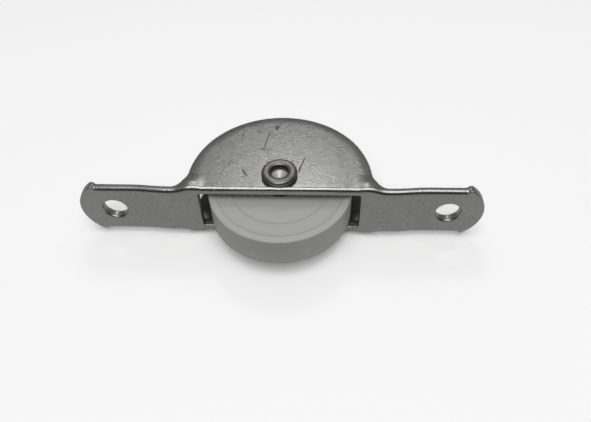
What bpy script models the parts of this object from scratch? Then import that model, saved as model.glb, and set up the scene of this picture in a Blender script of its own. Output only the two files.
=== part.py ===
"""Door roller: one flat-tread nylon wheel in a pressed stainless steel housing.

Frame: X runs along the housing, Z is the wheel's axis and points up, and the face strip that is
screwed to the door looks along -Y.  The origin is below the middle of the object's box, on the
surface that the part lies on.
"""
import math

import bmesh
import bpy
from mathutils import Vector

MM = 0.001

# Fits between pieces
GAP = 0.25 * MM                     # clearance between pieces that touch

# Wheel
WHEEL_RADIUS = 15.0 * MM
WHEEL_HALF_WIDTH = 3.5 * MM
RIM_ROUND = 0.25 * MM               # edge between side and tread
RIM_WIDTH = 1.6 * MM                # flat ring next to the tread
DISH_RADIUS = 10.2 * MM             # second, inner step of the side
STEP_DEPTH = 0.12 * MM              # how far the side is sunk at each step
HUB_CHAMFER = 0.2 * MM

# Housing
SHEET = 1.7 * MM
CHEEK_HALF_WIDTH = 6.6 * MM
WING_HALF_WIDTH = 6.35 * MM
EDGE_ROUND = 0.85 * MM              # rounded long edges of the wings, and the fold
INSIDE_ROUND = 0.3 * MM
CHEEK_EDGE_ROUND = 0.35 * MM
AXLE_SETBACK = 4.0 * MM             # axle behind the front face
CHEEK_RADIUS = 19.0 * MM
CHEEK_SETBACK = 3.3 * MM            # centre of the cheek's arc behind the front face
NECK_RADIUS = 3.4 * MM              # hollow curve between cheek and wing
SLOT_HALF_LENGTH = 16.6 * MM
SLOT_DEPTH = 2.1 * MM               # clears the inside of the fold
SCREW_X = 34.75 * MM
HALF_LENGTH = 42.0 * MM
END_RADIUS = 8.0 * MM               # wing end
SCREW_HOLE_RADIUS = 2.5 * MM
SCREW_ENTRY_RADIUS = 2.9 * MM       # screw hole at the front face, where its edge is pressed in
SCREW_ENTRY_DEPTH = 0.5 * MM
EAR_START = 37.8 * MM               # from here the back corner goes from round to square
EAR_LENGTH = 0.5 * MM
EAR_ROUND = 0.1 * MM
EAR_SPREAD = 0.15 * MM              # how far the sheared end stands out sideways
SWELL = 0.5 * MM                    # the fold bulges outward where it runs out into the wing
SWELL_X = 17.9 * MM
SWELL_REACH = 2.4 * MM
SWELL_HEIGHT = 4.0 * MM             # the swell fades out over this much of the cheek
NECK_END = 22.2 * MM                # here the sheet has narrowed to the wing's width
BOW = 0.44 * MM                     # forward bow of the face beside the slot
BOW_X = 22.6 * MM
BOW_REACH = 8.0 * MM

# Semi-tubular rivet and its distance sleeve
RIVET_HOLE_RADIUS = 1.65 * MM
RIVET_HOLE_DEPTH = 2.4 * MM         # from the top of the rolled head to the drill point
DRILL_POINT = 0.95 * MM             # height of the hole's cone
BARREL_RADIUS = 2.0 * MM
HEAD_RADIUS = 3.7 * MM
HEAD_HEIGHT = 1.1 * MM
HEAD_EDGE = 0.35 * MM               # rounded edge of the plain head
SLEEVE_WALL = 0.35 * MM

# Places that follow from the sizes above
FACE_Y = -(CHEEK_SETBACK + CHEEK_RADIUS + AXLE_SETBACK - WHEEL_RADIUS) / 2
AXLE_Y = FACE_Y + AXLE_SETBACK
CHEEK_Y = FACE_Y + CHEEK_SETBACK
MIDDLE_Z = CHEEK_HALF_WIDTH + GAP + HEAD_HEIGHT
END_CENTRE_X = HALF_LENGTH - END_RADIUS
CHEEK_INSIDE = CHEEK_HALF_WIDTH - SHEET
SLEEVE_INNER_RADIUS = BARREL_RADIUS + GAP
SLEEVE_OUTER_RADIUS = SLEEVE_INNER_RADIUS + SLEEVE_WALL
SLEEVE_HALF_LENGTH = CHEEK_INSIDE - GAP
HUB_BORE_RADIUS = SLEEVE_OUTER_RADIUS + GAP

ROUND_STEPS = 64                    # flats round the wheel
SMALL_ROUND_STEPS = 36              # flats round a small turned piece or hole
OVERCUT = 2.0 * MM                  # how far a cutter runs past the metal


# ---------------------------------------------------------------- scene and materials

def clear_scene():
    for old in list(bpy.data.objects):
        bpy.data.objects.remove(old, do_unlink=True)


def finish_material(name, colour, metallic, roughness):
    material = bpy.data.materials.new(name)
    material.use_nodes = True
    shader = material.node_tree.nodes["Principled BSDF"]
    shader.inputs["Base Color"].default_value = (*colour, 1.0)
    shader.inputs["Metallic"].default_value = metallic
    shader.inputs["Roughness"].default_value = roughness
    return material


def object_from_bmesh(name, shape, material=None, location=(0.0, 0.0, 0.0), smooth_angle=35.0):
    mesh = bpy.data.meshes.new(name)
    bmesh.ops.recalc_face_normals(shape, faces=shape.faces)
    shape.to_mesh(mesh)
    shape.free()
    mesh.shade_smooth()
    mesh.set_sharp_from_angle(angle=math.radians(smooth_angle))
    thing = bpy.data.objects.new(name, mesh)
    thing.location = location
    bpy.context.collection.objects.link(thing)
    if material is not None:
        mesh.materials.append(material)
    return thing


def cut_away(target, cutter):
    """Take the cutter's volume out of the target; the cutter stays as a hidden guide."""
    cutter.hide_render = True
    cutter.display_type = "WIRE"
    cut = target.modifiers.new("cut_" + cutter.name, "BOOLEAN")
    cut.operation = "DIFFERENCE"
    cut.solver = "EXACT"
    cut.object = cutter
    return cut


# ---------------------------------------------------------------- turned pieces

def turned(name, profile, steps, material=None, location=(0.0, 0.0, 0.0)):
    """Piece turned about its own Z axis from a (radius, height) profile.

    The profile is closed into a ring, unless it starts and ends on the axis.
    """
    shape = bmesh.new()
    corners = [shape.verts.new((radius, 0.0, height)) for radius, height in profile]
    edges = [shape.edges.new((a, b)) for a, b in zip(corners, corners[1:])]
    if profile[0][0] > 0.0:
        edges.append(shape.edges.new((corners[-1], corners[0])))
    bmesh.ops.spin(shape, geom=corners + edges, cent=(0.0, 0.0, 0.0), axis=(0.0, 0.0, 1.0),
                   angle=2.0 * math.pi, steps=steps, use_merge=True)
    bmesh.ops.remove_doubles(shape, verts=shape.verts, dist=0.001 * MM)
    return object_from_bmesh(name, shape, material, location)


def arc(centre, radius, start, end, steps):
    """Points on an arc, in degrees, both ends included."""
    points = []
    for i in range(steps + 1):
        angle = math.radians(start + (end - start) * i / steps)
        points.append((centre[0] + radius * math.cos(angle), centre[1] + radius * math.sin(angle)))
    return points


def mirrored_profile(upper):
    """Close a profile whose upper half is given by its mirror image below."""
    return upper + [(radius, -height) for radius, height in reversed(upper)]


def make_wheel(material):
    step_radius = WHEEL_RADIUS - RIM_WIDTH
    first_step = WHEEL_HALF_WIDTH - STEP_DEPTH
    second_step = first_step - STEP_DEPTH
    upper = [
        (HUB_BORE_RADIUS, second_step - HUB_CHAMFER),
        (HUB_BORE_RADIUS + HUB_CHAMFER, second_step),
        (DISH_RADIUS - STEP_DEPTH, second_step),
        (DISH_RADIUS, first_step),
        (step_radius - STEP_DEPTH, first_step),
        (step_radius, WHEEL_HALF_WIDTH),
    ]
    upper += arc((WHEEL_RADIUS - RIM_ROUND, WHEEL_HALF_WIDTH - RIM_ROUND), RIM_ROUND,
                 90.0, 0.0, 2)
    return turned("wheel", mirrored_profile(upper), ROUND_STEPS, material,
                  (0.0, AXLE_Y, MIDDLE_Z))


def make_rivet(material):
    """Semi-tubular rivet: drilled end rolled over on top, solid barrel, plain head below."""
    under_head = CHEEK_HALF_WIDTH + GAP
    crest = under_head + HEAD_HEIGHT
    roll = HEAD_HEIGHT / 2
    tip = crest - RIVET_HOLE_DEPTH
    profile = [(0.0, tip), (RIVET_HOLE_RADIUS, tip + DRILL_POINT)]
    profile += arc((RIVET_HOLE_RADIUS + HEAD_HEIGHT, under_head), HEAD_HEIGHT, 180.0, 90.0, 4)
    profile += arc((HEAD_RADIUS - roll, under_head + roll), roll, 90.0, -60.0, 4)
    profile += [(BARREL_RADIUS, under_head), (BARREL_RADIUS, -under_head)]
    profile += [(HEAD_RADIUS - HEAD_EDGE / 2, -under_head)]
    profile += arc((HEAD_RADIUS - HEAD_EDGE, HEAD_EDGE - crest), HEAD_EDGE, 0.0, -90.0, 3)
    profile += [(0.0, -crest)]
    return turned("axle_rivet", profile, SMALL_ROUND_STEPS, material, (0.0, AXLE_Y, MIDDLE_Z))


def make_sleeve(material):
    edge = 0.15 * MM
    upper = [
        (SLEEVE_INNER_RADIUS, SLEEVE_HALF_LENGTH - edge),
        (SLEEVE_INNER_RADIUS + edge, SLEEVE_HALF_LENGTH),
        (SLEEVE_OUTER_RADIUS - edge, SLEEVE_HALF_LENGTH),
        (SLEEVE_OUTER_RADIUS, SLEEVE_HALF_LENGTH - edge),
    ]
    return turned("distance_sleeve", mirrored_profile(upper), SMALL_ROUND_STEPS, material,
                  (0.0, AXLE_Y, MIDDLE_Z))


# ---------------------------------------------------------------- pressed housing

def bell(x, middle, spread):
    """Smooth bump of height 1 about the middle, zero beyond the spread."""
    t = abs(x - middle) / spread
    return 0.5 * (1.0 + math.cos(math.pi * t)) if t < 1.0 else 0.0


def end_share(x):
    """0 along the wing, rising to 1 at its sheared end."""
    return min(max((abs(x) - EAR_START) / EAR_LENGTH, 0.0), 1.0)


def half_width_at(x):
    """Half width of the sheet at its front face."""
    neck = min(max((abs(x) - SWELL_X) / (NECK_END - SWELL_X), 0.0), 1.0)
    ease = neck * neck * (3.0 - 2.0 * neck)
    base = CHEEK_HALF_WIDTH + (WING_HALF_WIDTH - CHEEK_HALF_WIDTH) * ease
    return base + SWELL * bell(abs(x), SWELL_X, SWELL_REACH) + EAR_SPREAD * end_share(x)


def face_at(x):
    return FACE_Y - BOW * bell(abs(x), BOW_X, BOW_REACH)


def back_round_at(x):
    """Radius of the wing's back corner: round along the wing, square at its sheared end."""
    return EDGE_ROUND + (EAR_ROUND - EDGE_ROUND) * end_share(x)


def cheek_outline():
    """Half outline from the cheek's top out to the wing's end, as (x, y of the metal's back).

    It is the cheek's arc, a hollow arc that touches both the cheek's arc and the wing's back
    face, and the wing.
    """
    wing_back = FACE_Y + SHEET
    # The hollow arc's centre lies a neck radius behind the wing, and a cheek radius plus a
    # neck radius from the cheek's centre.
    neck_y = wing_back + NECK_RADIUS
    reach = CHEEK_RADIUS + NECK_RADIUS
    neck_x = math.sqrt(reach ** 2 - (neck_y - CHEEK_Y) ** 2)
    touch = math.degrees(math.atan2(neck_y - CHEEK_Y, neck_x))
    cheek = arc((0.0, CHEEK_Y), CHEEK_RADIUS, 90.0, touch, 16)
    hollow = arc((neck_x, neck_y), NECK_RADIUS, 180.0 + touch, 270.0, 5)
    flat_from = BOW_X + BOW_REACH
    pressed = [neck_x + (flat_from - neck_x) * i / 6 for i in range(1, 7)]
    ends = [EAR_START, EAR_START + EAR_LENGTH, HALF_LENGTH + OVERCUT]
    wing = [(x, wing_back) for x in pressed + ends]
    return cheek + hollow[1:] + wing


def housing_section(x, back):
    """Closed (y, z) section of the bent sheet at x, whose flanges reach to y = back.

    On a wing the flanges have no height, and the section is a flat strip with round edges.
    """
    face = face_at(x)
    wide = half_width_at(x)
    inner_face = face + SHEET
    rise = max(back - FACE_Y - SHEET, 0.0)
    top = inner_face + rise
    # The swell at the fold fades out up the cheek, so the cheek's back edge is straight.
    fade = max(1.0 - rise / SWELL_HEIGHT, 0.0)
    back_wide = CHEEK_HALF_WIDTH + (wide - CHEEK_HALF_WIDTH) * fade
    tall = min(rise / (2.0 * INSIDE_ROUND), 1.0)
    outer_round = back_round_at(x) * (1.0 - tall) + CHEEK_EDGE_ROUND * tall
    inner_round = CHEEK_EDGE_ROUND * tall
    fillet = INSIDE_ROUND * tall
    upper = [(inner_face, wide - SHEET - fillet)]
    upper += arc((inner_face + fillet, wide - SHEET - fillet), fillet, 180.0, 90.0, 2)[1:]
    upper += arc((top - inner_round, back_wide - SHEET + inner_round), inner_round, -90.0, 0.0, 1)
    upper += arc((top - outer_round, back_wide - outer_round), outer_round, 0.0, 90.0, 3)
    upper += arc((face + EDGE_ROUND, wide - EDGE_ROUND), EDGE_ROUND, 90.0, 180.0, 4)
    return upper + [(y, -z) for y, z in reversed(upper)]


def make_housing_blank():
    """Sweep the section along X from one wing tip to the other."""
    half = cheek_outline()
    stations = [(-x, back) for x, back in reversed(half)] + half[1:]
    shape = bmesh.new()
    rings = []
    for x, back in stations:
        rings.append([shape.verts.new((x, y, MIDDLE_Z + z)) for y, z in housing_section(x, back)])
    for ring, following in zip(rings, rings[1:]):
        for i in range(len(ring)):
            j = (i + 1) % len(ring)
            shape.faces.new((ring[i], ring[j], following[j], following[i]))
    shape.faces.new(rings[0])
    shape.faces.new(list(reversed(rings[-1])))
    bmesh.ops.remove_doubles(shape, verts=shape.verts, dist=0.002 * MM)
    bmesh.ops.dissolve_degenerate(shape, edges=shape.edges, dist=0.002 * MM)
    # The swell leaves four-cornered faces that aren't flat, which a clean cut needs split.
    bmesh.ops.triangulate(shape, faces=shape.faces)
    return shape


def prism(name, outline, low, high, place):
    """Cutter: a flat outline carried from low to high; place turns (a, b, height) into a point."""
    shape = bmesh.new()
    bottom = [shape.verts.new(place(a, b, low)) for a, b in outline]
    top = [shape.verts.new(place(a, b, high)) for a, b in outline]
    shape.faces.new(bottom)
    shape.faces.new(list(reversed(top)))
    for i in range(len(outline)):
        j = (i + 1) % len(outline)
        shape.faces.new((bottom[i], top[i], top[j], bottom[j]))
    return object_from_bmesh(name, shape)


def along_y(a, b, height):
    return Vector((a, height, MIDDLE_Z + b))


def end_cutter(side):
    """Everything beyond the wing's round end."""
    wide = WING_HALF_WIDTH + OVERCUT
    corner = math.degrees(math.asin((WING_HALF_WIDTH + 2.0 * EAR_SPREAD) / END_RADIUS))
    curve = arc((END_CENTRE_X, 0.0), END_RADIUS, -corner, corner, 22)
    outline = [(curve[0][0], -wide)] + curve + [(curve[-1][0], wide)]
    far = HALF_LENGTH + 2.0 * OVERCUT
    outline += [(far, wide), (far, -wide)]
    outline = [(side * a, b) for a, b in outline]
    name = "end_cutter_left" if side < 0 else "end_cutter_right"
    return prism(name, outline, FACE_Y - OVERCUT, FACE_Y + SHEET + OVERCUT, along_y)


def screw_hole_cutter(side):
    """Round hole whose front edge is pressed in to a soft funnel."""
    steps = 3
    depth = SCREW_ENTRY_DEPTH
    width = SCREW_ENTRY_RADIUS - SCREW_HOLE_RADIUS
    profile = [(0.0, OVERCUT), (SCREW_ENTRY_RADIUS, OVERCUT), (SCREW_ENTRY_RADIUS, 0.0)]
    for i in range(1, steps + 1):
        angle = 0.5 * math.pi * i / steps
        profile.append((SCREW_ENTRY_RADIUS - width * math.sin(angle),
                        -depth * (1.0 - math.cos(angle))))
    profile += [(SCREW_HOLE_RADIUS, -SHEET - OVERCUT), (0.0, -SHEET - OVERCUT)]
    shape = bmesh.new()
    chain = [shape.verts.new((radius, 0.0, height)) for radius, height in profile]
    edges = [shape.edges.new((a, b)) for a, b in zip(chain, chain[1:])]
    bmesh.ops.spin(shape, geom=chain + edges, cent=(0.0, 0.0, 0.0), axis=(0.0, 0.0, 1.0),
                   angle=2.0 * math.pi, steps=SMALL_ROUND_STEPS, use_merge=True)
    bmesh.ops.remove_doubles(shape, verts=shape.verts, dist=0.001 * MM)
    name = "screw_hole_cutter_left" if side < 0 else "screw_hole_cutter_right"
    cutter = object_from_bmesh(name, shape, location=(side * SCREW_X, FACE_Y, MIDDLE_Z))
    cutter.rotation_euler = (math.radians(90.0), 0.0, 0.0)
    return cutter


def axle_hole_cutter():
    # Half a step round, so that no corner falls on the section at the middle of the cheek.
    turn = 180.0 / SMALL_ROUND_STEPS
    outline = arc((0.0, AXLE_Y), BARREL_RADIUS + GAP, turn, 360.0 + turn, SMALL_ROUND_STEPS)[:-1]
    reach = CHEEK_HALF_WIDTH + OVERCUT
    return prism("axle_hole_cutter", outline, MIDDLE_Z - reach, MIDDLE_Z + reach,
                 lambda a, b, height: Vector((a, b, height)))


def slot_cutter():
    """Window for the wheel, as wide as the space between the cheeks."""
    wide = CHEEK_INSIDE
    corner = 0.5 * MM
    outline = []
    for a, b, start in ((1, 1, 0.0), (-1, 1, 90.0), (-1, -1, 180.0), (1, -1, 270.0)):
        outline += arc((a * (SLOT_HALF_LENGTH - corner), b * (wide - corner)), corner,
                       start, start + 90.0, 3)
    return prism("slot_cutter", outline, FACE_Y - OVERCUT, FACE_Y + SLOT_DEPTH, along_y)


def make_housing(material):
    housing = object_from_bmesh("housing", make_housing_blank(), material)
    for cutter in (end_cutter(-1), end_cutter(1), slot_cutter(), axle_hole_cutter(),
                   screw_hole_cutter(-1), screw_hole_cutter(1)):
        cut_away(housing, cutter)
    return housing


# ---------------------------------------------------------------- assembly

def main():
    clear_scene()
    stainless = finish_material("stainless_sheet", (0.55, 0.55, 0.53), 1.0, 0.38)
    rivet_steel = finish_material("rivet_steel", (0.42, 0.41, 0.39), 1.0, 0.32)
    sleeve_steel = finish_material("sleeve_steel", (0.58, 0.57, 0.55), 1.0, 0.25)
    nylon = finish_material("white_nylon", (0.82, 0.82, 0.80), 0.0, 0.35)
    make_housing(stainless)
    make_wheel(nylon)
    make_rivet(rivet_steel)
    make_sleeve(sleeve_steel)


main()
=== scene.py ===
"""Looks of the door roller: a nylon wheel on a rivet in a pressed stainless housing.

Frame as packed: X along the housing, -Y out of its face, Z along the wheel's axis.
Lengths in the shape functions are millimetres, and put_mesh turns them into metres.
"""
import math

import bmesh
import bpy
import numpy as np
from mathutils import Matrix, Vector


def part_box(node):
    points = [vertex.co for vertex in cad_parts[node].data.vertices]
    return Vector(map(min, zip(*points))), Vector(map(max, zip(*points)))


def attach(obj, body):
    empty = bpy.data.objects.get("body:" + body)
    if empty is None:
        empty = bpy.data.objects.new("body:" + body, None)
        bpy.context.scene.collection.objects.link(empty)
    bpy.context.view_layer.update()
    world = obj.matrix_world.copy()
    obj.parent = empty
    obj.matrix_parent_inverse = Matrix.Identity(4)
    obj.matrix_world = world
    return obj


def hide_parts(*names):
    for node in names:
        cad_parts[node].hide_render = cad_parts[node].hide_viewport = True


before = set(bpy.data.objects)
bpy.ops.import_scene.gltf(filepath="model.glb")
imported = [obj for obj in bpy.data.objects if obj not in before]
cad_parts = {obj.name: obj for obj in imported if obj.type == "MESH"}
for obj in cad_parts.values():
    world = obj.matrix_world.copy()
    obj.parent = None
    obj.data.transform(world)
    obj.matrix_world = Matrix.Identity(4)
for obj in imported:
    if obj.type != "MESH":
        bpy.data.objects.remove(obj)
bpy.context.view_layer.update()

MM = 0.001

# ---------------------------------------------------------------- sizes, in mm
WHEEL_LOW, WHEEL_HIGH = (np.array(corner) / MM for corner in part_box("wheel"))
AXLE_Y, MIDDLE_Z = (WHEEL_LOW + WHEEL_HIGH)[1:] / 2
WHEEL_RADIUS = (WHEEL_HIGH - WHEEL_LOW)[0] / 2
WHEEL_HALF_WIDTH = (WHEEL_HIGH - WHEEL_LOW)[2] / 2
HALF_HEIGHT = (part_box("axle_rivet")[1].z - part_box("axle_rivet")[0].z) / MM / 2

AXLE_SETBACK = 4.0
CHEEK_SETBACK = 3.3
FACE = AXLE_Y - AXLE_SETBACK         # front face of the housing
SHEET = 1.7
BACK = FACE + SHEET                  # back face of the wings
CHEEK_HALF_WIDTH = 6.6
WING_HALF_WIDTH = 6.35
CHEEK_INSIDE = CHEEK_HALF_WIDTH - SHEET
CHEEK_RADIUS = 19.0
CHEEK_Y = FACE + CHEEK_SETBACK       # centre of the cheek's arc
NECK_RADIUS = 3.4                    # hollow curve between cheek and wing
SLOT_HALF_LENGTH = 16.6
SLOT_CORNER = 0.5
SCREW_X = 34.75
HOLE_RADIUS = 2.5
HALF_LENGTH = 42.0
END_RADIUS = 8.0
END_CENTRE_X = HALF_LENGTH - END_RADIUS
EDGE_ROUND = 0.85                    # fold, and the wings' long edges
CUT_ROUND = 0.32                     # outer corner of the cheek's cut edge
EDGE_ROLL, EDGE_ROLL_REACH = 0.22, 2.2               # dip towards that cut edge
EAR_START, EAR_LENGTH, EAR_SPREAD = 37.8, 0.5, 0.15  # sheared corners of the wing's end
SWELL, SWELL_X, SWELL_REACH, SWELL_HEIGHT = 0.34, 18.2, 3.2, 3.0  # fold beside the neck
NECK_END = 22.2                      # here the sheet has narrowed to the wing's width
BOW, BOW_X, BOW_REACH = 0.44, 22.6, 8.0              # forward bow of the face
RIM_WIDTH = 1.6
DISH_RADIUS = 10.2
STEP = 0.1                           # depth of each turned step of the wheel
WHEEL_BORE = 2.85
BARREL_RADIUS = 2.0
RIVET_HOLE_RADIUS = 1.65
RIVET_HOLE_DEPTH = 2.4               # from the top of the rolled head to the drill point
DRILL_POINT = 0.95                   # height of the hole's cone
HEAD_RADIUS = 3.7
HEAD_EDGE = 0.35
AXLE_HOLE_RADIUS = 2.25
SLEEVE_INNER, SLEEVE_OUTER = 2.25, 2.6


# ---------------------------------------------------------------- mesh helpers

def grid_faces(rows, columns, keep=None):
    """Four-cornered faces of a rows x columns grid of points; keep picks the cells."""
    i, j = np.meshgrid(np.arange(rows - 1), np.arange(columns - 1), indexing="ij")
    if keep is not None:
        i, j = i[keep], j[keep]
    corner = i * columns + j
    faces = np.stack([corner, corner + columns, corner + columns + 1, corner + 1], axis=-1)
    return faces.reshape(-1, 4)


def put_mesh(name, points, faces, material, sharp_angle=40.0, masks=None):
    """Object at the origin from points in mm and faces; doubles are merged and faces turned out."""
    mesh = bpy.data.meshes.new(name)
    mesh.from_pydata((points * MM).tolist(), [], faces.tolist())
    for mask_name, values in (masks or {}).items():
        mask = mesh.attributes.new(mask_name, "FLOAT", "POINT")
        mask.data.foreach_set("value", values.astype(np.float32).ravel())
    shape = bmesh.new()
    shape.from_mesh(mesh)
    bmesh.ops.remove_doubles(shape, verts=shape.verts, dist=0.002 * MM)
    bmesh.ops.dissolve_degenerate(shape, edges=shape.edges, dist=0.001 * MM)
    bmesh.ops.recalc_face_normals(shape, faces=shape.faces)
    shape.to_mesh(mesh)
    shape.free()
    mesh.shade_smooth()
    mesh.set_sharp_from_angle(angle=math.radians(sharp_angle))
    mesh.materials.append(material)
    thing = bpy.data.objects.new(name, mesh)
    bpy.context.scene.collection.objects.link(thing)
    return thing


def turn_profile(profile, steps):
    """Surface of revolution about the wheel's axis.

    Point (r, h) of the closed profile goes to (r cos a, axle y + r sin a, middle z + h).
    """
    radius, height = np.array(profile).T
    angle = np.linspace(0.0, 2.0 * np.pi, steps + 1)[:, None]
    points = np.stack([radius * np.cos(angle), AXLE_Y + radius * np.sin(angle),
                       MIDDLE_Z + height + 0.0 * angle], axis=-1)
    return points.reshape(-1, 3), grid_faces(steps + 1, len(profile))


def arc(centre, radius, start, end, steps):
    """Points on an arc between two angles in degrees, both ends included."""
    angle = np.radians(np.linspace(start, end, steps + 1))
    return [(centre[0] + radius * c, centre[1] + radius * s)
            for c, s in zip(np.cos(angle), np.sin(angle))]


def both_halves(upper):
    """Closed profile from its upper half and the mirror image below."""
    lower = [(radius, -height) for radius, height in reversed(upper)]
    return upper + lower + upper[:1]


# ---------------------------------------------------------------- housing

def ease(t):
    t = np.clip(t, 0.0, 1.0)
    return t * t * (3.0 - 2.0 * t)


def bell(x, middle, reach):
    """Smooth bump of height 1 at |x| = middle, zero beyond the reach."""
    t = np.minimum(np.abs(np.abs(x) - middle) / reach, 1.0)
    return 0.5 * (1.0 + np.cos(np.pi * t))


def half_width(x):
    """Half width of the pressed sheet over its fold or its wing's edge."""
    base = CHEEK_HALF_WIDTH + (WING_HALF_WIDTH - CHEEK_HALF_WIDTH) * ease(
        (np.abs(x) - SWELL_X) / (NECK_END - SWELL_X))
    ear = EAR_SPREAD * ease((np.abs(x) - EAR_START) / EAR_LENGTH)
    return base + SWELL * bell(x, SWELL_X, SWELL_REACH) + ear


def outside_height(x, y):
    """Height of the housing's outside above the middle: the fold's swell fades up the cheek."""
    fade = 1.0 - ease((y - BACK) / SWELL_HEIGHT)
    return CHEEK_HALF_WIDTH + (half_width(x) - CHEEK_HALF_WIDTH) * fade


def rolled_over(x, y):
    """How far the outside dips towards the cheek's cut edge, from the blanking."""
    inside_edge = CHEEK_RADIUS - np.hypot(x, y - CHEEK_Y)
    near = np.clip(1.0 - inside_edge / EDGE_ROLL_REACH, 0.0, 1.0)
    return EDGE_ROLL * near ** 2 * ease((y - BACK - 0.6) / 4.0)


def housing_quarter():
    """One quarter of the housing, for x and z above zero, as a grid of points in mm.

    A half section is carried along the sheet's outline, from the top of the cheek down its
    arc, round the hollow neck, along the wing and round its end.  Each section starts at the
    opening (slot, then middle line, then screw hole), runs over the front face, round the
    fold, up the outside of the cheek, over the cut edge, down the inside and back to the
    opening.  A point is given by its inward distance e from the outline in the cheek's plane
    and its depth d below the outside.
    """
    neck_y = BACK + NECK_RADIUS
    neck_x = math.sqrt((CHEEK_RADIUS + NECK_RADIUS) ** 2 - (neck_y - CHEEK_Y) ** 2)
    touch = math.atan2(neck_y - CHEEK_Y, neck_x)
    fold_x = 17.4                    # the fold's point that belongs to the foot of the arc
    half_slot = SLOT_HALF_LENGTH - SLOT_CORNER
    # Rows of each leg: outline x y, inward x y, depth direction x z, fold point x z,
    # opening x z, direction into the metal x z, and whether a wall stands there.
    lines = []

    # Cheek's arc, opposite the long side of the slot.
    a = np.linspace(0.0, 1.0, 73)
    angle = 0.5 * np.pi + (touch - 0.5 * np.pi) * a
    fx = fold_x * a
    zero, one = np.zeros_like(a), np.ones_like(a)
    lines.append([CHEEK_RADIUS * np.cos(angle), CHEEK_Y + CHEEK_RADIUS * np.sin(angle),
                  -np.cos(angle), -np.sin(angle), zero, one, fx, half_width(fx),
                  half_slot * a, CHEEK_INSIDE * one, zero, one, one])

    # Hollow neck, opposite the slot's corner and end.
    a = np.linspace(0.0, 1.0, 19)[1:]
    angle = np.pi + touch + (0.5 * np.pi - touch) * a
    fx = fold_x + (neck_x - fold_x) * a
    zero, one = np.zeros_like(a), np.ones_like(a)
    bend = 0.5 * np.pi * SLOT_CORNER
    run = a * (bend + CHEEK_INSIDE - SLOT_CORNER)
    turn = np.minimum(run, bend) / SLOT_CORNER
    opening_z = CHEEK_INSIDE - SLOT_CORNER + SLOT_CORNER * np.cos(turn)
    opening_z -= np.maximum(run - bend, 0.0)
    opening_z[-1] = 0.0
    lines.append([neck_x + NECK_RADIUS * np.cos(angle), neck_y + NECK_RADIUS * np.sin(angle),
                  np.cos(angle), np.sin(angle), zero, one, fx, half_width(fx),
                  half_slot + SLOT_CORNER * np.sin(turn), opening_z,
                  np.sin(turn), np.cos(turn), one])
    lines[-1][11][-1] = 0.0

    # Wing between neck and screw hole, opposite the middle line.
    hole_start = 28.3
    a = np.linspace(0.0, 1.0, 22)[1:-1]
    x = neck_x + (hole_start - neck_x) * a
    zero, one = np.zeros_like(a), np.ones_like(a)
    near_hole = SCREW_X - HOLE_RADIUS - 0.75
    lines.append([x, BACK * one, zero, -one, zero, one, x, half_width(x),
                  SLOT_HALF_LENGTH + (near_hole - SLOT_HALF_LENGTH) * a, zero, zero, zero, zero])

    # Wing's long edge beside the screw hole.
    corner_z = WING_HALF_WIDTH + EAR_SPREAD
    corner = math.asin(corner_z / END_RADIUS)
    corner_x = END_CENTRE_X + END_RADIUS * math.cos(corner)
    x = np.concatenate([np.linspace(hole_start, EAR_START - 0.1, 20),
                        np.linspace(EAR_START, corner_x, 12)])
    zero, one = np.zeros_like(x), np.ones_like(x)
    z = half_width(x)
    before = np.pi - 0.5 * np.pi * (x - hole_start) / (SCREW_X - hole_start)
    theta = np.where(x < SCREW_X, before, np.arctan2(z, x - SCREW_X))
    lean = (x - SCREW_X) / (corner_x - SCREW_X)
    depth_angle = 0.5 * np.pi + (corner - 0.5 * np.pi) * np.clip(lean, 0.0, 1.0)
    lines.append([x, BACK * one, zero, -one, np.cos(depth_angle), np.sin(depth_angle), x, z,
                  SCREW_X + HOLE_RADIUS * np.cos(theta), HOLE_RADIUS * np.sin(theta),
                  np.cos(theta), np.sin(theta), one])
    lines[-1][9][0] = 0.0
    lines[-1][11][0] = 0.0

    # Round end.
    around = np.linspace(corner, 0.0, 27)[1:]
    c, s = np.cos(around), np.sin(around)
    s[-1] = 0.0
    x, z = END_CENTRE_X + END_RADIUS * c, END_RADIUS * s
    zero, one = np.zeros_like(x), np.ones_like(x)
    theta = np.arctan2(z, x - SCREW_X)
    hole_c, hole_s = np.cos(theta), np.sin(theta)
    lines.append([x, BACK * one, zero, -one, c, s, x, z, SCREW_X + HOLE_RADIUS * hole_c,
                  HOLE_RADIUS * hole_s, hole_c, hole_s, one])
    tip_lines = len(around)

    (ox, oy, nx, ny, mx, mz, gx, gz, bx, bz, wx, wz, wall) = np.concatenate(
        [np.array(leg) for leg in lines], axis=1)[:, :, None]
    count = len(ox)
    tip = np.zeros((count, 1), bool)
    tip[-tip_lines:] = True
    on_end = np.maximum(ease((ox - EAR_START) / EAR_LENGTH), tip)
    on_hole = (bx > SCREW_X - 3.0) & (wall > 0.5)
    on_slot_side = wz * (wall > 0.5) * ~on_hole
    tall = ease((oy - BACK) / 1.6)   # 0 along the wing, 1 up the cheek
    front_round = EDGE_ROUND + (0.2 - EDGE_ROUND) * on_end
    outer_round = (EDGE_ROUND + (0.1 - EDGE_ROUND) * on_end) * (1.0 - tall)
    outer_round += CUT_ROUND * tall
    inner_round = 0.25 * tall
    fillet = 0.3 * tall * (1.0 - on_slot_side)
    entry_width = np.where(on_hole, 0.42, 0.18) * wall
    entry_depth = np.where(on_hole, 0.6, 0.18) * wall
    exit_round = np.where(on_hole, 0.12, 0.15) * wall * (1.0 - on_slot_side)

    def fractions(n):
        return np.linspace(0.0, 1.0, n + 1)[None, :]

    def height(x, y):
        return np.where(tip, gz, outside_height(x, y))

    parts = []
    cut_mask = []

    def add(x, y, z, cut=0.0):
        shape = np.broadcast_shapes(np.shape(x), np.shape(y), np.shape(z))
        parts.append(np.stack([np.broadcast_to(v, shape) for v in (x, y, z)], axis=-1))
        cut_mask.append(np.broadcast_to(cut, shape))

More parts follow.
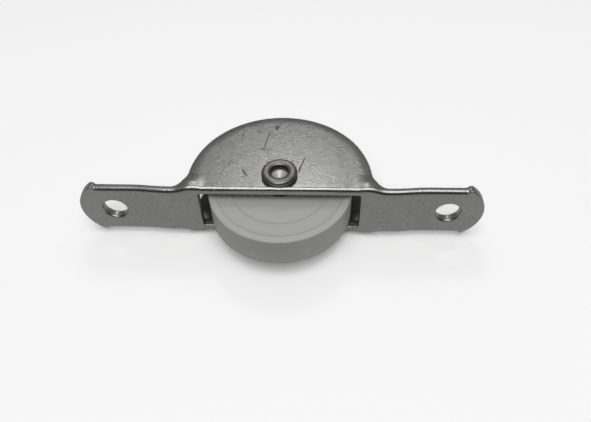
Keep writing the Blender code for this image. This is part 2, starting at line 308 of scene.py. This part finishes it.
    # front face, from the opening to the fold
    t = fractions(9)
    start_x, start_z = bx + wx * entry_width, bz + wz * entry_width
    add(start_x + (gx - mx * front_round - start_x) * t, FACE,
        start_z + (gz - mz * front_round - start_z) * t)
    # fold, or the wing's rounded front edge
    phi = 0.5 * np.pi * fractions(9)
    d = front_round * (1.0 - np.sin(phi))
    add(gx - mx * d, FACE + front_round * (1.0 - np.cos(phi)), gz - mz * d)
    # outside of the cheek
    t = fractions(36)
    x = gx + (ox + nx * outer_round - gx) * t
    y = FACE + front_round + (oy + ny * outer_round - FACE - front_round) * t
    add(x, y, height(x, y) - rolled_over(x, y) * tall, on_end)
    # outer corner of the cut edge
    psi = 0.5 * np.pi * fractions(5)
    e, d = outer_round * (1.0 - np.sin(psi)), outer_round * (1.0 - np.cos(psi))
    x, y = ox + nx * e - mx * d, oy + ny * e
    top = height(ox + nx * e, y) - rolled_over(ox + nx * e, y) * tall
    add(x, y, top - mz * d, np.maximum(on_end, tall))
    # inner corner of the cut edge
    e, d = inner_round * (1.0 - np.cos(psi)), SHEET - inner_round * (1.0 - np.sin(psi))
    add(ox + nx * e - mx * d, oy + ny * e, height(ox + nx * e, oy + ny * e) - mz * d, tall)
    # inside of the cheek
    t = fractions(26)
    ix, iy = ox + nx * inner_round, oy + ny * inner_round
    foot_x = gx + (bx - gx) * on_slot_side
    x, y = ix + (foot_x - ix) * t, iy + (BACK + fillet - iy) * t
    add(x - mx * SHEET, y, height(x, y) - mz * SHEET)
    # inside of the fold
    d = SHEET + fillet * (1.0 - np.cos(psi))
    y = BACK + fillet * (1.0 - np.sin(psi))
    add(foot_x - mx * d, y, height(foot_x, y) - mz * d)
    # back face, towards the opening
    t = fractions(9)
    from_x = foot_x - mx * (SHEET + fillet)
    from_z = height(foot_x, BACK) - mz * (SHEET + fillet)
    to_x, to_z = bx + wx * exit_round, bz + wz * exit_round
    add(from_x + (to_x - from_x) * t, BACK, from_z + (to_z - from_z) * t)
    wall_from = sum(part.shape[1] for part in parts) - 1
    # wall of the opening, with its soft front edge
    e, d = exit_round * (1.0 - np.sin(psi)), exit_round * (1.0 - np.cos(psi))
    add(bx + wx * e, BACK - d, bz + wz * e)
    phi = 0.5 * np.pi * (1.0 - fractions(6))
    e, d = entry_width * (1.0 - np.sin(phi)), entry_depth * (1.0 - np.cos(phi))
    add(bx + wx * e, FACE + d, bz + wz * e)

    points = np.concatenate(parts, axis=1)
    cut = np.concatenate(cut_mask, axis=1)
    points[..., 1] -= BOW * bell(points[..., 0], BOW_X, BOW_REACH)
    keep = np.ones((count - 1, points.shape[1] - 1), bool)
    has_wall = (wall[:-1, 0] > 0.5) & (wall[1:, 0] > 0.5)
    keep[~has_wall, wall_from:] = False
    return points, cut, keep


def make_housing(material):
    """Four mirrored quarters, joined along the middle planes, with the axle hole cut through."""
    points, cut, keep = housing_quarter()
    rows, columns = points.shape[:2]
    flat = points.reshape(-1, 3)
    faces = grid_faces(rows, columns, keep)
    all_points, all_faces = [], []
    for n, (side, half) in enumerate(((1, 1), (-1, 1), (1, -1), (-1, -1))):
        all_points.append(flat * np.array([side, 1.0, half]) + np.array([0.0, 0.0, MIDDLE_Z]))
        all_faces.append((faces if side * half > 0 else faces[:, ::-1]) + n * len(flat))
    housing = put_mesh("roller_housing", np.concatenate(all_points), np.concatenate(all_faces),
                       material, 42.0, {"cut_edge": np.tile(cut.reshape(-1), 4)})
    ring = [(0.0, -10.0), (AXLE_HOLE_RADIUS, -10.0), (AXLE_HOLE_RADIUS, 10.0), (0.0, 10.0)]
    cutter = put_mesh("axle_hole", *turn_profile(ring, 96), material)
    drill = housing.modifiers.new("axle_hole", "BOOLEAN")
    drill.operation = "DIFFERENCE"
    drill.solver = "EXACT"
    drill.object = cutter
    view = bpy.context.evaluated_depsgraph_get()
    drilled = bpy.data.meshes.new_from_object(housing.evaluated_get(view))
    housing.modifiers.clear()
    housing.data = drilled
    drilled.name = "roller_housing"
    bpy.data.objects.remove(cutter, do_unlink=True)
    return housing


# ---------------------------------------------------------------- turned pieces

def make_wheel(material):
    """Nylon wheel: flat tread, two shallow steps on each side, plain bore."""
    half = WHEEL_HALF_WIDTH
    dish_height = half - 2 * STEP
    rim = WHEEL_RADIUS - RIM_WIDTH
    bore_round, tread_round = 0.25, 0.28
    upper = arc((WHEEL_BORE + bore_round, dish_height - bore_round), bore_round, 180.0, 90.0, 4)
    upper += [(4.5, dish_height), (7.0, dish_height), (DISH_RADIUS - 0.5, dish_height)]
    upper += [(DISH_RADIUS - 0.3 * math.cos(t), half - STEP * (1.5 + 0.5 * math.cos(t)))
              for t in np.linspace(0.0, math.pi, 7)]
    upper += [(rim - 1.5, half - STEP)]
    upper += [(rim - 0.25 * math.cos(t), half - STEP * (0.5 + 0.5 * math.cos(t)))
              for t in np.linspace(0.0, math.pi, 7)]
    upper += arc((WHEEL_RADIUS - tread_round, half - tread_round), tread_round, 90.0, 0.0, 6)
    upper += [(WHEEL_RADIUS, half * 0.6), (WHEEL_RADIUS, half * 0.2)]
    return put_mesh("roller_wheel", *turn_profile(both_halves(upper), 192), material, 50.0)


def make_rivet(material):
    """Semi-tubular rivet: its drilled end is rolled over the cheek, the other head is plain."""
    under = CHEEK_HALF_WIDTH + 0.02
    crest = HALF_HEIGHT
    tip = crest - RIVET_HOLE_DEPTH
    roll, drop = 0.75, 0.7           # width and height of the rolled ring's outer part
    steep = 0.62                     # below 1, the ring falls more sharply into the hole
    inner = HEAD_RADIUS - roll
    wall_top = crest - 1.2
    profile = [(0.0, tip), (0.25, tip + 0.1), (0.8, tip + 0.45), (1.3, tip + 0.75)]
    profile += [(RIVET_HOLE_RADIUS - 0.08, tip + DRILL_POINT),
                (RIVET_HOLE_RADIUS - 0.01, tip + 1.1)]
    profile += [(inner - (inner - RIVET_HOLE_RADIUS) * math.cos(a) ** steep,
                 wall_top + (crest - wall_top) * math.sin(a) ** steep)
                for a in np.radians(np.linspace(0.0, 89.0, 20))]
    profile += [(inner + roll * math.sin(a), crest - drop + drop * math.cos(a))
                for a in np.radians(np.linspace(8.0, 150.0, 16))]
    profile += [(HEAD_RADIUS - 0.5, under), (BARREL_RADIUS, under), (BARREL_RADIUS, 3.0)]
    profile += [(BARREL_RADIUS, -3.0), (BARREL_RADIUS, -under), (HEAD_RADIUS - 0.15, -under)]
    profile += arc((HEAD_RADIUS - HEAD_EDGE, HEAD_EDGE - crest), HEAD_EDGE, 20.0, -90.0, 8)
    profile += [(2.0, -crest), (0.0, -crest)]
    return put_mesh("rivet_axle", *turn_profile(profile, 128), material, 50.0)


def make_sleeve(material):
    """Thin tube between the cheeks, on which the wheel turns."""
    top, edge = CHEEK_INSIDE - 0.1, 0.12
    upper = [(SLEEVE_INNER, 1.0), (SLEEVE_INNER, top - edge)]
    upper += [(SLEEVE_INNER + edge * (1.0 - math.cos(a)), top - edge * (1.0 - math.sin(a)))
              for a in np.radians((30.0, 60.0, 90.0))]
    upper += [(SLEEVE_OUTER - edge * (1.0 - math.sin(a)), top - edge * (1.0 - math.cos(a)))
              for a in np.radians((0.0, 30.0, 60.0, 90.0))]
    upper += [(SLEEVE_OUTER, 1.0)]
    return put_mesh("sleeve_tube", *turn_profile(both_halves(upper), 96), material, 50.0)


# ---------------------------------------------------------------- shader building blocks

def new_group(name, inputs, outputs):
    """Node group with named sockets; returns the tree, its input node and its output node."""
    tree = bpy.data.node_groups.new(name, "ShaderNodeTree")
    for socket, kind, value in inputs:
        made = tree.interface.new_socket(socket, in_out="INPUT", socket_type=kind)
        if value is not None:
            made.default_value = value
    for socket, kind in outputs:
        tree.interface.new_socket(socket, in_out="OUTPUT", socket_type=kind)
    return tree, tree.nodes.new("NodeGroupInput"), tree.nodes.new("NodeGroupOutput")


def noise(tree, vector, scale, detail=2.0, roughness=0.5, distortion=0.0):
    node = tree.nodes.new("ShaderNodeTexNoise")
    tree.links.new(vector, node.inputs["Vector"])
    for socket, value in (("Scale", scale), ("Detail", detail), ("Roughness", roughness),
                          ("Distortion", distortion)):
        if isinstance(value, bpy.types.NodeSocket):
            tree.links.new(value, node.inputs[socket])
        else:
            node.inputs[socket].default_value = value
    return node.outputs["Fac"]


def maths(tree, operation, *values, clamp=False):
    node = tree.nodes.new("ShaderNodeMath")
    node.operation = operation
    node.use_clamp = clamp
    for socket, value in zip(node.inputs, values):
        if isinstance(value, bpy.types.NodeSocket):
            tree.links.new(value, socket)
        else:
            socket.default_value = value
    return node.outputs[0]


def remap(tree, value, low, high, to_low=0.0, to_high=1.0):
    node = tree.nodes.new("ShaderNodeMapRange")
    tree.links.new(value, node.inputs["Value"])
    for socket, number in (("From Min", low), ("From Max", high), ("To Min", to_low),
                           ("To Max", to_high)):
        if isinstance(number, bpy.types.NodeSocket):
            tree.links.new(number, node.inputs[socket])
        else:
            node.inputs[socket].default_value = number
    return node.outputs["Result"]


def components(tree, vector):
    """X, Y and Z of a vector."""
    node = tree.nodes.new("ShaderNodeSeparateXYZ")
    tree.links.new(vector, node.inputs[0])
    return node.outputs


def hypotenuse(tree, first, second):
    return maths(tree, "SQRT", maths(tree, "ADD", maths(tree, "POWER", first, 2.0),
                                     maths(tree, "POWER", second, 2.0)))


def product(tree, first, *others):
    for other in others:
        first = maths(tree, "MULTIPLY", first, other)
    return first


def mix_colour(tree, fraction, first, second):
    node = tree.nodes.new("ShaderNodeMix")
    node.data_type = "RGBA"
    for socket, value in ((node.inputs[0], fraction), (node.inputs[6], first),
                          (node.inputs[7], second)):
        if isinstance(value, bpy.types.NodeSocket):
            tree.links.new(value, socket)
        elif isinstance(value, tuple):
            socket.default_value = (*value, 1.0)
        else:
            socket.default_value = value
    return node.outputs[2]


def mottle_group():
    """Soft uneven patches and fine grain, as masks about 0.5 and a height for bump."""
    tree, given, result = new_group(
        "mottle", [("Vector", "NodeSocketVector", None), ("Patch Scale", "NodeSocketFloat", 150.0),
                   ("Grain Scale", "NodeSocketFloat", 2500.0)],
        [("Patches", "NodeSocketFloat"), ("Grain", "NodeSocketFloat"),
         ("Height", "NodeSocketFloat")])
    vector = given.outputs["Vector"]
    patches = noise(tree, vector, given.outputs["Patch Scale"], 4.0, 0.6, 0.4)
    grain = noise(tree, vector, given.outputs["Grain Scale"], 3.0, 0.65)
    middle = noise(tree, vector, maths(tree, "MULTIPLY", given.outputs["Grain Scale"], 0.35),
                   2.0, 0.6)
    height = maths(tree, "ADD", maths(tree, "MULTIPLY", grain, 0.6),
                   maths(tree, "MULTIPLY", middle, 0.4))
    tree.links.new(patches, result.inputs["Patches"])
    tree.links.new(grain, result.inputs["Grain"])
    tree.links.new(height, result.inputs["Height"])
    return tree


def mark_group():
    """Mask of one scratch: 1 on the straight line from Start to End, 0 a Width away from it."""
    tree, given, result = new_group(
        "scratch", [("Vector", "NodeSocketVector", None), ("Start", "NodeSocketVector", None),
                    ("End", "NodeSocketVector", None), ("Width", "NodeSocketFloat", 0.0001)],
        [("Mask", "NodeSocketFloat")])

    def vector_maths(operation, first, second):
        node = tree.nodes.new("ShaderNodeVectorMath")
        node.operation = operation
        tree.links.new(first, node.inputs[0])
        if operation == "SCALE":
            tree.links.new(second, node.inputs["Scale"])
        elif second is not None:
            tree.links.new(second, node.inputs[1])
        return node.outputs["Value" if operation in ("DOT_PRODUCT", "LENGTH") else "Vector"]

    along = vector_maths("SUBTRACT", given.outputs["End"], given.outputs["Start"])
    offset = vector_maths("SUBTRACT", given.outputs["Vector"], given.outputs["Start"])
    share = maths(tree, "DIVIDE", vector_maths("DOT_PRODUCT", offset, along),
                  vector_maths("DOT_PRODUCT", along, along), clamp=True)
    nearest = vector_maths("SCALE", along, share)
    away = vector_maths("LENGTH", vector_maths("SUBTRACT", offset, nearest), None)
    mask = remap(tree, away, given.outputs["Width"], 0.0)
    tree.links.new(mask, result.inputs["Mask"])
    return tree


def scuff_group():
    """Sparse short random scratches: ridges of a stretched noise, thinned out by patches."""
    tree, given, result = new_group(
        "scuffs", [("Vector", "NodeSocketVector", None), ("Amount", "NodeSocketFloat", 0.5)],
        [("Mask", "NodeSocketFloat")])
    masks = []
    for turn, stretch, scale in ((0.5, (9.0, 1.0, 1.0), 90.0), (2.1, (1.0, 8.0, 1.0), 110.0),
                                 (1.2, (1.0, 12.0, 3.0), 140.0)):
        place = tree.nodes.new("ShaderNodeMapping")
        place.inputs["Rotation"].default_value = (0.3 * turn, 0.2, turn)
        place.inputs["Scale"].default_value = stretch
        tree.links.new(given.outputs["Vector"], place.inputs["Vector"])
        ridge = noise(tree, place.outputs["Vector"], scale, 1.0, 0.4, 0.15)
        thin = maths(tree, "ABSOLUTE", maths(tree, "SUBTRACT", ridge, 0.5))
        line = remap(tree, thin, 0.004, 0.0)
        patch = noise(tree, given.outputs["Vector"], 240.0 + 30.0 * turn, 1.0)
        masks.append(maths(tree, "MULTIPLY", line, remap(tree, patch, 0.62, 0.72)))
    total = maths(tree, "ADD", maths(tree, "ADD", masks[0], masks[1]), masks[2], clamp=True)
    tree.links.new(maths(tree, "MULTIPLY", total, given.outputs["Amount"]),
                   result.inputs["Mask"])
    return tree


MOTTLE = mottle_group()
SCRATCH = mark_group()
SCUFFS = scuff_group()


def place_group(tree, group, vector, **values):
    node = tree.nodes.new("ShaderNodeGroup")
    node.node_tree = group
    tree.links.new(vector, node.inputs["Vector"])
    for socket, value in values.items():
        node.inputs[socket.replace("_", " ")].default_value = value
    return node


def start_material(name, colour, metallic, roughness):
    """Principled material; returns it with its tree, its shader and object coordinates."""
    material = bpy.data.materials.new(name)
    material.use_nodes = True
    tree = material.node_tree
    shader = tree.nodes["Principled BSDF"]
    shader.inputs["Base Color"].default_value = (*colour, 1.0)
    shader.inputs["Metallic"].default_value = metallic
    shader.inputs["Roughness"].default_value = roughness
    coordinates = tree.nodes.new("ShaderNodeTexCoord").outputs["Object"]
    return material, tree, shader, coordinates


def bump(tree, shader, height, distance, strength):
    node = tree.nodes.new("ShaderNodeBump")
    node.inputs["Distance"].default_value = distance
    node.inputs["Strength"].default_value = strength
    tree.links.new(height, node.inputs["Height"])
    tree.links.new(node.outputs["Normal"], shader.inputs["Normal"])


# ---------------------------------------------------------------- materials

def stainless_material():
    """Satin sheet: cloudy and finely grained, a few marks, rougher cut edges, painted shade inside.
    """
    material, tree, shader, where = start_material("stainless_sheet", (0.5, 0.5, 0.48), 1.0, 0.38)
    cloud = place_group(tree, MOTTLE, where, Patch_Scale=130.0, Grain_Scale=2500.0)
    scuffs = place_group(tree, SCUFFS, where, Amount=0.7)
    cut = tree.nodes.new("ShaderNodeAttribute")
    cut.attribute_name = "cut_edge"
    cut_edge = cut.outputs["Fac"]

    top = (MIDDLE_Z + CHEEK_HALF_WIDTH) * MM
    marks = None
    # Marks on the upper cheek, as x y to x y in mm from the axle, with the width of each.
    for x1, y1, x2, y2, width in ((-1.6, 15.1, -1.2, 14.1, 0.26), (-0.9, 15.1, -1.2, 14.1, 0.2),
                                  (-2.6, 13.2, -3.8, 7.9, 0.12), (-5.6, 13.2, -4.6, 12.8, 0.12),
                                  (-4.7, 7.7, -2.6, 7.3, 0.14), (5.1, 5.1, 4.2, 2.2, 0.11),
                                  (4.2, 2.2, 3.9, 1.0, 0.16), (-7.8, 1.5, -6.8, -0.2, 0.16),
                                  (11.8, 12.4, 12.6, 11.6, 0.1), (-8.8, 12.6, -8.4, 11.4, 0.1)):
        mark = place_group(tree, SCRATCH, where, Width=width * MM,
                           Start=(x1 * MM, (AXLE_Y + y1) * MM, top),
                           End=(x2 * MM, (AXLE_Y + y2) * MM, top)).outputs["Mask"]
        marks = mark if marks is None else maths(tree, "MAXIMUM", marks, mark)
    broken = noise(tree, where, 2600.0, 2.0)
    marks = maths(tree, "MULTIPLY", marks, remap(tree, broken, 0.25, 0.45), clamp=True)
    marks = maths(tree, "MAXIMUM", marks, scuffs.outputs["Mask"])

    colour = mix_colour(tree, remap(tree, cloud.outputs["Patches"], 0.3, 0.7),
                        (0.475, 0.475, 0.458), (0.535, 0.535, 0.52))
    colour = mix_colour(tree, remap(tree, cloud.outputs["Grain"], 0.47, 0.25), colour,
                        (0.29, 0.29, 0.275))
    colour = mix_colour(tree, cut_edge, colour, (0.43, 0.425, 0.40))
    # Painted shade inside the housing, between the cheeks and behind the face: near-black colour,
    # less metal and rougher there.
    x, y, z = components(tree, where)
    from_middle = maths(tree, "ABSOLUTE", maths(tree, "SUBTRACT", z, MIDDLE_Z * MM))
    inside = remap(tree, from_middle, (CHEEK_INSIDE + 0.15) * MM, (CHEEK_INSIDE + 0.02) * MM)
    behind = remap(tree, y, (FACE + 0.5) * MM, (FACE + 1.2) * MM)
    between = remap(tree, maths(tree, "ABSOLUTE", x), (SLOT_HALF_LENGTH + 3.0) * MM,
                    (SLOT_HALF_LENGTH + 2.0) * MM)
    painted_inside_shade = product(tree, inside, behind, between)
    colour = mix_colour(tree, maths(tree, "MULTIPLY", painted_inside_shade, 0.95), colour, (0.05, 0.048, 0.044))
    metal = maths(tree, "SUBTRACT", 1.0, maths(tree, "MULTIPLY", painted_inside_shade, 0.8))
    tree.links.new(metal, shader.inputs["Metallic"])
    colour = mix_colour(tree, maths(tree, "MULTIPLY", marks, 0.9), colour, (0.05, 0.047, 0.042))
    tree.links.new(colour, shader.inputs["Base Color"])
    rough = remap(tree, cloud.outputs["Patches"], 0.3, 0.7, 0.24, 0.30)
    rough = maths(tree, "ADD", rough, maths(tree, "MULTIPLY", cut_edge, 0.08))
    rough = maths(tree, "ADD", rough, maths(tree, "MULTIPLY", marks, 0.2))
    rough = maths(tree, "ADD", rough, maths(tree, "MULTIPLY", painted_inside_shade, 0.4))
    tree.links.new(rough, shader.inputs["Roughness"])

    height = maths(tree, "SUBTRACT", cloud.outputs["Height"], maths(tree, "MULTIPLY", marks, 0.8))
    bump(tree, shader, height, 0.045 * MM, 1.0)
    return material


def nylon_material():
    """Turned nylon: milky white, slightly glossy, faint turning rings and a few dark specks, with
    painted highlights on the tread and the rim ring and painted shade at the face's steps.
    """
    material, tree, shader, where = start_material("white_nylon", (0.78, 0.78, 0.765), 0.0, 0.36)
    shader.inputs["IOR"].default_value = 1.53
    shader.inputs["Subsurface Weight"].default_value = 0.25
    shader.inputs["Subsurface Radius"].default_value = (0.0016, 0.0015, 0.0013)
    shader.inputs["Subsurface Scale"].default_value = 1.0
    cloud = place_group(tree, MOTTLE, where, Patch_Scale=90.0, Grain_Scale=1200.0)
    centre = tree.nodes.new("ShaderNodeMapping")
    centre.inputs["Location"].default_value = (0.0, -AXLE_Y * MM, -MIDDLE_Z * MM)
    tree.links.new(where, centre.inputs["Vector"])
    x, y, z = components(tree, centre.outputs["Vector"])
    radius = hypotenuse(tree, x, y)
    rings = tree.nodes.new("ShaderNodeTexNoise")
    rings.noise_dimensions = "1D"
    rings.inputs["Scale"].default_value = 3200.0
    rings.inputs["Detail"].default_value = 3.0
    tree.links.new(radius, rings.inputs["W"])
    specks = noise(tree, where, 420.0, 0.0)
    dark = remap(tree, specks, 0.885, 0.905)
    colour = mix_colour(tree, remap(tree, cloud.outputs["Patches"], 0.3, 0.7),
                        (0.76, 0.76, 0.74), (0.80, 0.80, 0.785))
    rim_start = WHEEL_RADIUS - RIM_WIDTH
    # Painted highlight: from the rim step outward the colour is painted half-way to a lighter
    # white.
    rim = remap(tree, radius, (rim_start - 0.1) * MM, (rim_start + 0.1) * MM)
    colour = mix_colour(tree, maths(tree, "MULTIPLY", rim, 0.5), colour, (0.83, 0.83, 0.82))
    on_face = remap(tree, maths(tree, "ABSOLUTE", z), (WHEEL_HALF_WIDTH - 0.4) * MM,
                    (WHEEL_HALF_WIDTH - 0.3) * MM)
    # Dark lines on the wheel's face: those at the rim step and the dish step are painted shade
    # along the steps, the one at 8.3 mm a faint turned line. Radius and half width in mm, and how
    # dark.
    for line, width, depth in ((rim_start, 0.3, 0.4), (DISH_RADIUS, 0.3, 0.3), (8.3, 0.15, 0.08)):
        away = maths(tree, "ABSOLUTE", maths(tree, "SUBTRACT", radius, line * MM))
        turned_line_and_step_shade = maths(tree, "MULTIPLY", remap(tree, away, width * MM, 0.0), on_face)
        colour = mix_colour(tree, maths(tree, "MULTIPLY", turned_line_and_step_shade, depth), colour,
                            (0.5, 0.5, 0.485))
    # Painted highlights on the tread, white blotches in place of reflections: x y z of the middle
    # from the wheel's centre, half length, width.
    for highlight_x, highlight_y, highlight_z, length, width in ((-4.9, -14.2, -1.4, 1.6, 0.9),
                                               (5.6, -13.9, -0.3, 0.9, 0.7)):
        start = ((highlight_x - length) * MM, highlight_y * MM, highlight_z * MM)
        end = ((highlight_x + length) * MM, highlight_y * MM, (highlight_z - 0.3) * MM)
        tread_highlight = place_group(tree, SCRATCH, centre.outputs["Vector"], Width=width * MM,
                          Start=start, End=end).outputs["Mask"]
        tread_highlight = maths(tree, "MULTIPLY", tread_highlight, remap(tree, noise(tree, where, 900.0, 3.0), 0.4, 0.62))
        colour = mix_colour(tree, tread_highlight, colour, (1.0, 1.0, 1.0))
    colour = mix_colour(tree, maths(tree, "MULTIPLY", dark, 0.85), colour, (0.12, 0.11, 0.10))
    tree.links.new(colour, shader.inputs["Base Color"])
    rough = remap(tree, cloud.outputs["Patches"], 0.25, 0.75, 0.30, 0.44)
    tree.links.new(rough, shader.inputs["Roughness"])
    height = maths(tree, "ADD", maths(tree, "MULTIPLY", rings.outputs["Fac"], 0.35),
                   maths(tree, "MULTIPLY", cloud.outputs["Patches"], 2.0))
    bump(tree, shader, height, 0.03 * MM, 0.8)
    return material


def tube_steel_material(name, colour, roughness, dirt, drilled=False):
    """Rolled or drawn steel: fine rings round the axis, darker patches, dirt in the grain.

    A drilled piece gets painted shade on the wall of its hole and a painted highlight on the cone
    at its bottom.
    """
    material, tree, shader, where = start_material(name, colour, 1.0, roughness)
    cloud = place_group(tree, MOTTLE, where, Patch_Scale=420.0, Grain_Scale=2600.0)
    stretch = tree.nodes.new("ShaderNodeMapping")
    stretch.inputs["Scale"].default_value = (1.0, 1.0, 9.0)
    tree.links.new(where, stretch.inputs["Vector"])
    drawn = noise(tree, stretch.outputs["Vector"], 700.0, 3.0, 0.6)
    dark = tuple(0.5 * value for value in colour)
    tint = mix_colour(tree, remap(tree, cloud.outputs["Patches"], 0.35, 0.75, 0.0, dirt), colour,
                      dark)
    rough = remap(tree, drawn, 0.3, 0.7, roughness - 0.07, roughness + 0.09)
    if drilled:
        x, y, z = components(tree, where)
        depth = maths(tree, "SUBTRACT", (MIDDLE_Z + HALF_HEIGHT) * MM, z)
        radius = hypotenuse(tree, x, maths(tree, "SUBTRACT", y, AXLE_Y * MM))
        in_hole = maths(tree, "MULTIPLY", remap(tree, radius, 2.45 * MM, 2.15 * MM),
                        remap(tree, depth, 4.0 * MM, 3.9 * MM))
        # Painted shade: the hole's wall is painted near-black.
        wall = maths(tree, "MULTIPLY", in_hole, remap(tree, depth, 0.1 * MM, 0.4 * MM))
        # Painted highlight: the cone at the bottom of the hole is painted near-white and less
        # metallic.
        cone = maths(tree, "MULTIPLY", wall, remap(tree, radius, (RIVET_HOLE_RADIUS - 0.01) * MM,
                                                   (RIVET_HOLE_RADIUS - 0.05) * MM))
        tint = mix_colour(tree, wall, tint, (0.07, 0.065, 0.06))
        tint = mix_colour(tree, cone, tint, (0.93, 0.92, 0.9))
        rough = maths(tree, "ADD", rough, maths(tree, "MULTIPLY", cone, 0.05))
        metal = maths(tree, "SUBTRACT", 1.0, maths(tree, "MULTIPLY", cone, 0.65))
        tree.links.new(metal, shader.inputs["Metallic"])
    tree.links.new(tint, shader.inputs["Base Color"])
    tree.links.new(rough, shader.inputs["Roughness"])
    height = maths(tree, "ADD", drawn, cloud.outputs["Height"])
    bump(tree, shader, height, 0.015 * MM, 0.8)
    return material


def floor_material():
    """Plain pale floor, lifted towards white where the camera sees it directly.

    Reflections see a painted shadow on it in front of the object, and the camera sees painted shade
    on it under the cheeks.
    """
    material, tree, shader, where = start_material("pale_floor", (0.8, 0.8, 0.8), 0.0, 0.9)
    shader.inputs["Specular IOR Level"].default_value = 0.0
    path = tree.nodes.new("ShaderNodeLightPath")
    x, y, _ = components(tree, where)
    # Painted shadow in front of the object, seen only in reflections: dark beyond 45 mm in front,
    # pale again by 18 mm.
    near = remap(tree, y, -45.0 * MM, -18.0 * MM)
    seen_in_metal = mix_colour(tree, near, (0.12, 0.12, 0.12), (0.85, 0.85, 0.85))
    # Painted shade under the cheeks: there the camera sees the floor at 0.3 instead of 2.0.
    under = product(tree, remap(tree, maths(tree, "ABSOLUTE", x), 19.5 * MM, 18.5 * MM),
                    remap(tree, y, -4.0 * MM, -2.0 * MM), remap(tree, y, 12.0 * MM, 9.0 * MM))
    seen = mix_colour(tree, under, (2.0, 2.0, 2.0), (0.3, 0.3, 0.3))
    colour = mix_colour(tree, path.outputs["Is Camera Ray"], seen_in_metal, seen)
    tree.links.new(colour, shader.inputs["Base Color"])
    return material


# ---------------------------------------------------------------- the object

housing = make_housing(stainless_material())
wheel = make_wheel(nylon_material())
rivet = make_rivet(tube_steel_material("rivet_steel", (0.42, 0.41, 0.39), roughness=0.33,
                                       dirt=0.8, drilled=True))
sleeve = make_sleeve(tube_steel_material("sleeve_steel", (0.58, 0.57, 0.55), roughness=0.26,
                                         dirt=0.4))

for piece, body, node, slot in ((housing, "frame", "housing", "stainless_sheet"),
                                (wheel, "roller", "wheel", "white_nylon"),
                                (rivet, "frame", "axle_rivet", "rivet_steel"),
                                (sleeve, "frame", "distance_sleeve", "sleeve_steel")):
    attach(piece, body)
    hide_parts(node)


# ---------------------------------------------------------------- floor, light and camera

def make_floor():
    """Square of floor under the object, one face."""
    mesh = bpy.data.meshes.new("floor")
    half = 3.0
    mesh.from_pydata([(-half, -half, 0.0), (half, -half, 0.0), (half, half, 0.0),
                      (-half, half, 0.0)], [], [(0, 1, 2, 3)])
    mesh.materials.append(floor_material())
    floor = bpy.data.objects.new("floor", mesh)
    bpy.context.scene.collection.objects.link(floor)


def make_softbox(name, place, size, radiance):
    """Square area light turned to the object, by the brightness of its surface."""
    lamp = bpy.data.lights.new(name, "AREA")
    lamp.shape = "SQUARE"
    lamp.size = size
    lamp.energy = radiance * math.pi * size * size
    light = bpy.data.objects.new(name, lamp)
    light.location = place
    light.rotation_euler = Vector(place).to_track_quat("Z", "Y").to_euler()
    bpy.context.scene.collection.objects.link(light)


def make_world(front, back, zenith):
    """Plain grey surroundings: dim towards the front horizon, brighter behind and overhead."""
    world = bpy.data.worlds.new("studio")
    world.use_nodes = True
    tree = world.node_tree
    direction = tree.nodes.new("ShaderNodeTexCoord").outputs["Generated"]
    _, y, z = components(tree, direction)
    horizon = remap(tree, y, -0.5, 0.7, front, back)
    overhead = remap(tree, z, 0.45, 0.9)
    level = maths(tree, "ADD", horizon, maths(tree, "MULTIPLY", overhead, zenith))
    background = tree.nodes["Background"]
    background.inputs["Strength"].default_value = 1.0
    tree.links.new(level, background.inputs["Color"])
    bpy.context.scene.world = world


def make_camera(focal, yaw, elevation, roll, side, rise, distance):
    """Camera looking back along +Y and down; side and rise shift it square to its view, in mm."""
    camera = bpy.data.cameras.new("camera")
    camera.sensor_width = 36.0
    camera.lens = focal
    camera.clip_start = 0.001
    turn = (Matrix.Rotation(math.radians(yaw), 3, "Z")
            @ Matrix.Rotation(-math.radians(elevation), 3, "X")
            @ Matrix.Rotation(-math.radians(roll), 3, "Y"))
    aim = Vector((0.0, FACE, MIDDLE_Z))
    place = aim + turn @ Vector((side, -distance, rise))
    view = bpy.data.objects.new("camera", camera)
    matrix = (turn @ Matrix.Rotation(math.radians(90.0), 3, "X")).to_4x4()
    matrix.translation = place * MM
    view.matrix_world = matrix
    bpy.context.scene.collection.objects.link(view)
    bpy.context.scene.camera = view


make_floor()
make_world(front=0.03, back=0.16, zenith=0.15)
make_softbox("top_softbox", (0.05, -0.3, 1.0), 0.75, 1.8)
make_softbox("strip", (-0.15, -0.75, 0.85), 0.16, 6.0)
make_softbox("back_softbox", (-0.05, 0.76, 1.0), 0.22, 3.3)
make_camera(focal=34.98, yaw=3.37, elevation=49.42, roll=-1.87, side=3.263, rise=-0.007,
            distance=119.72)
bpy.context.scene.view_settings.view_transform = "Standard"
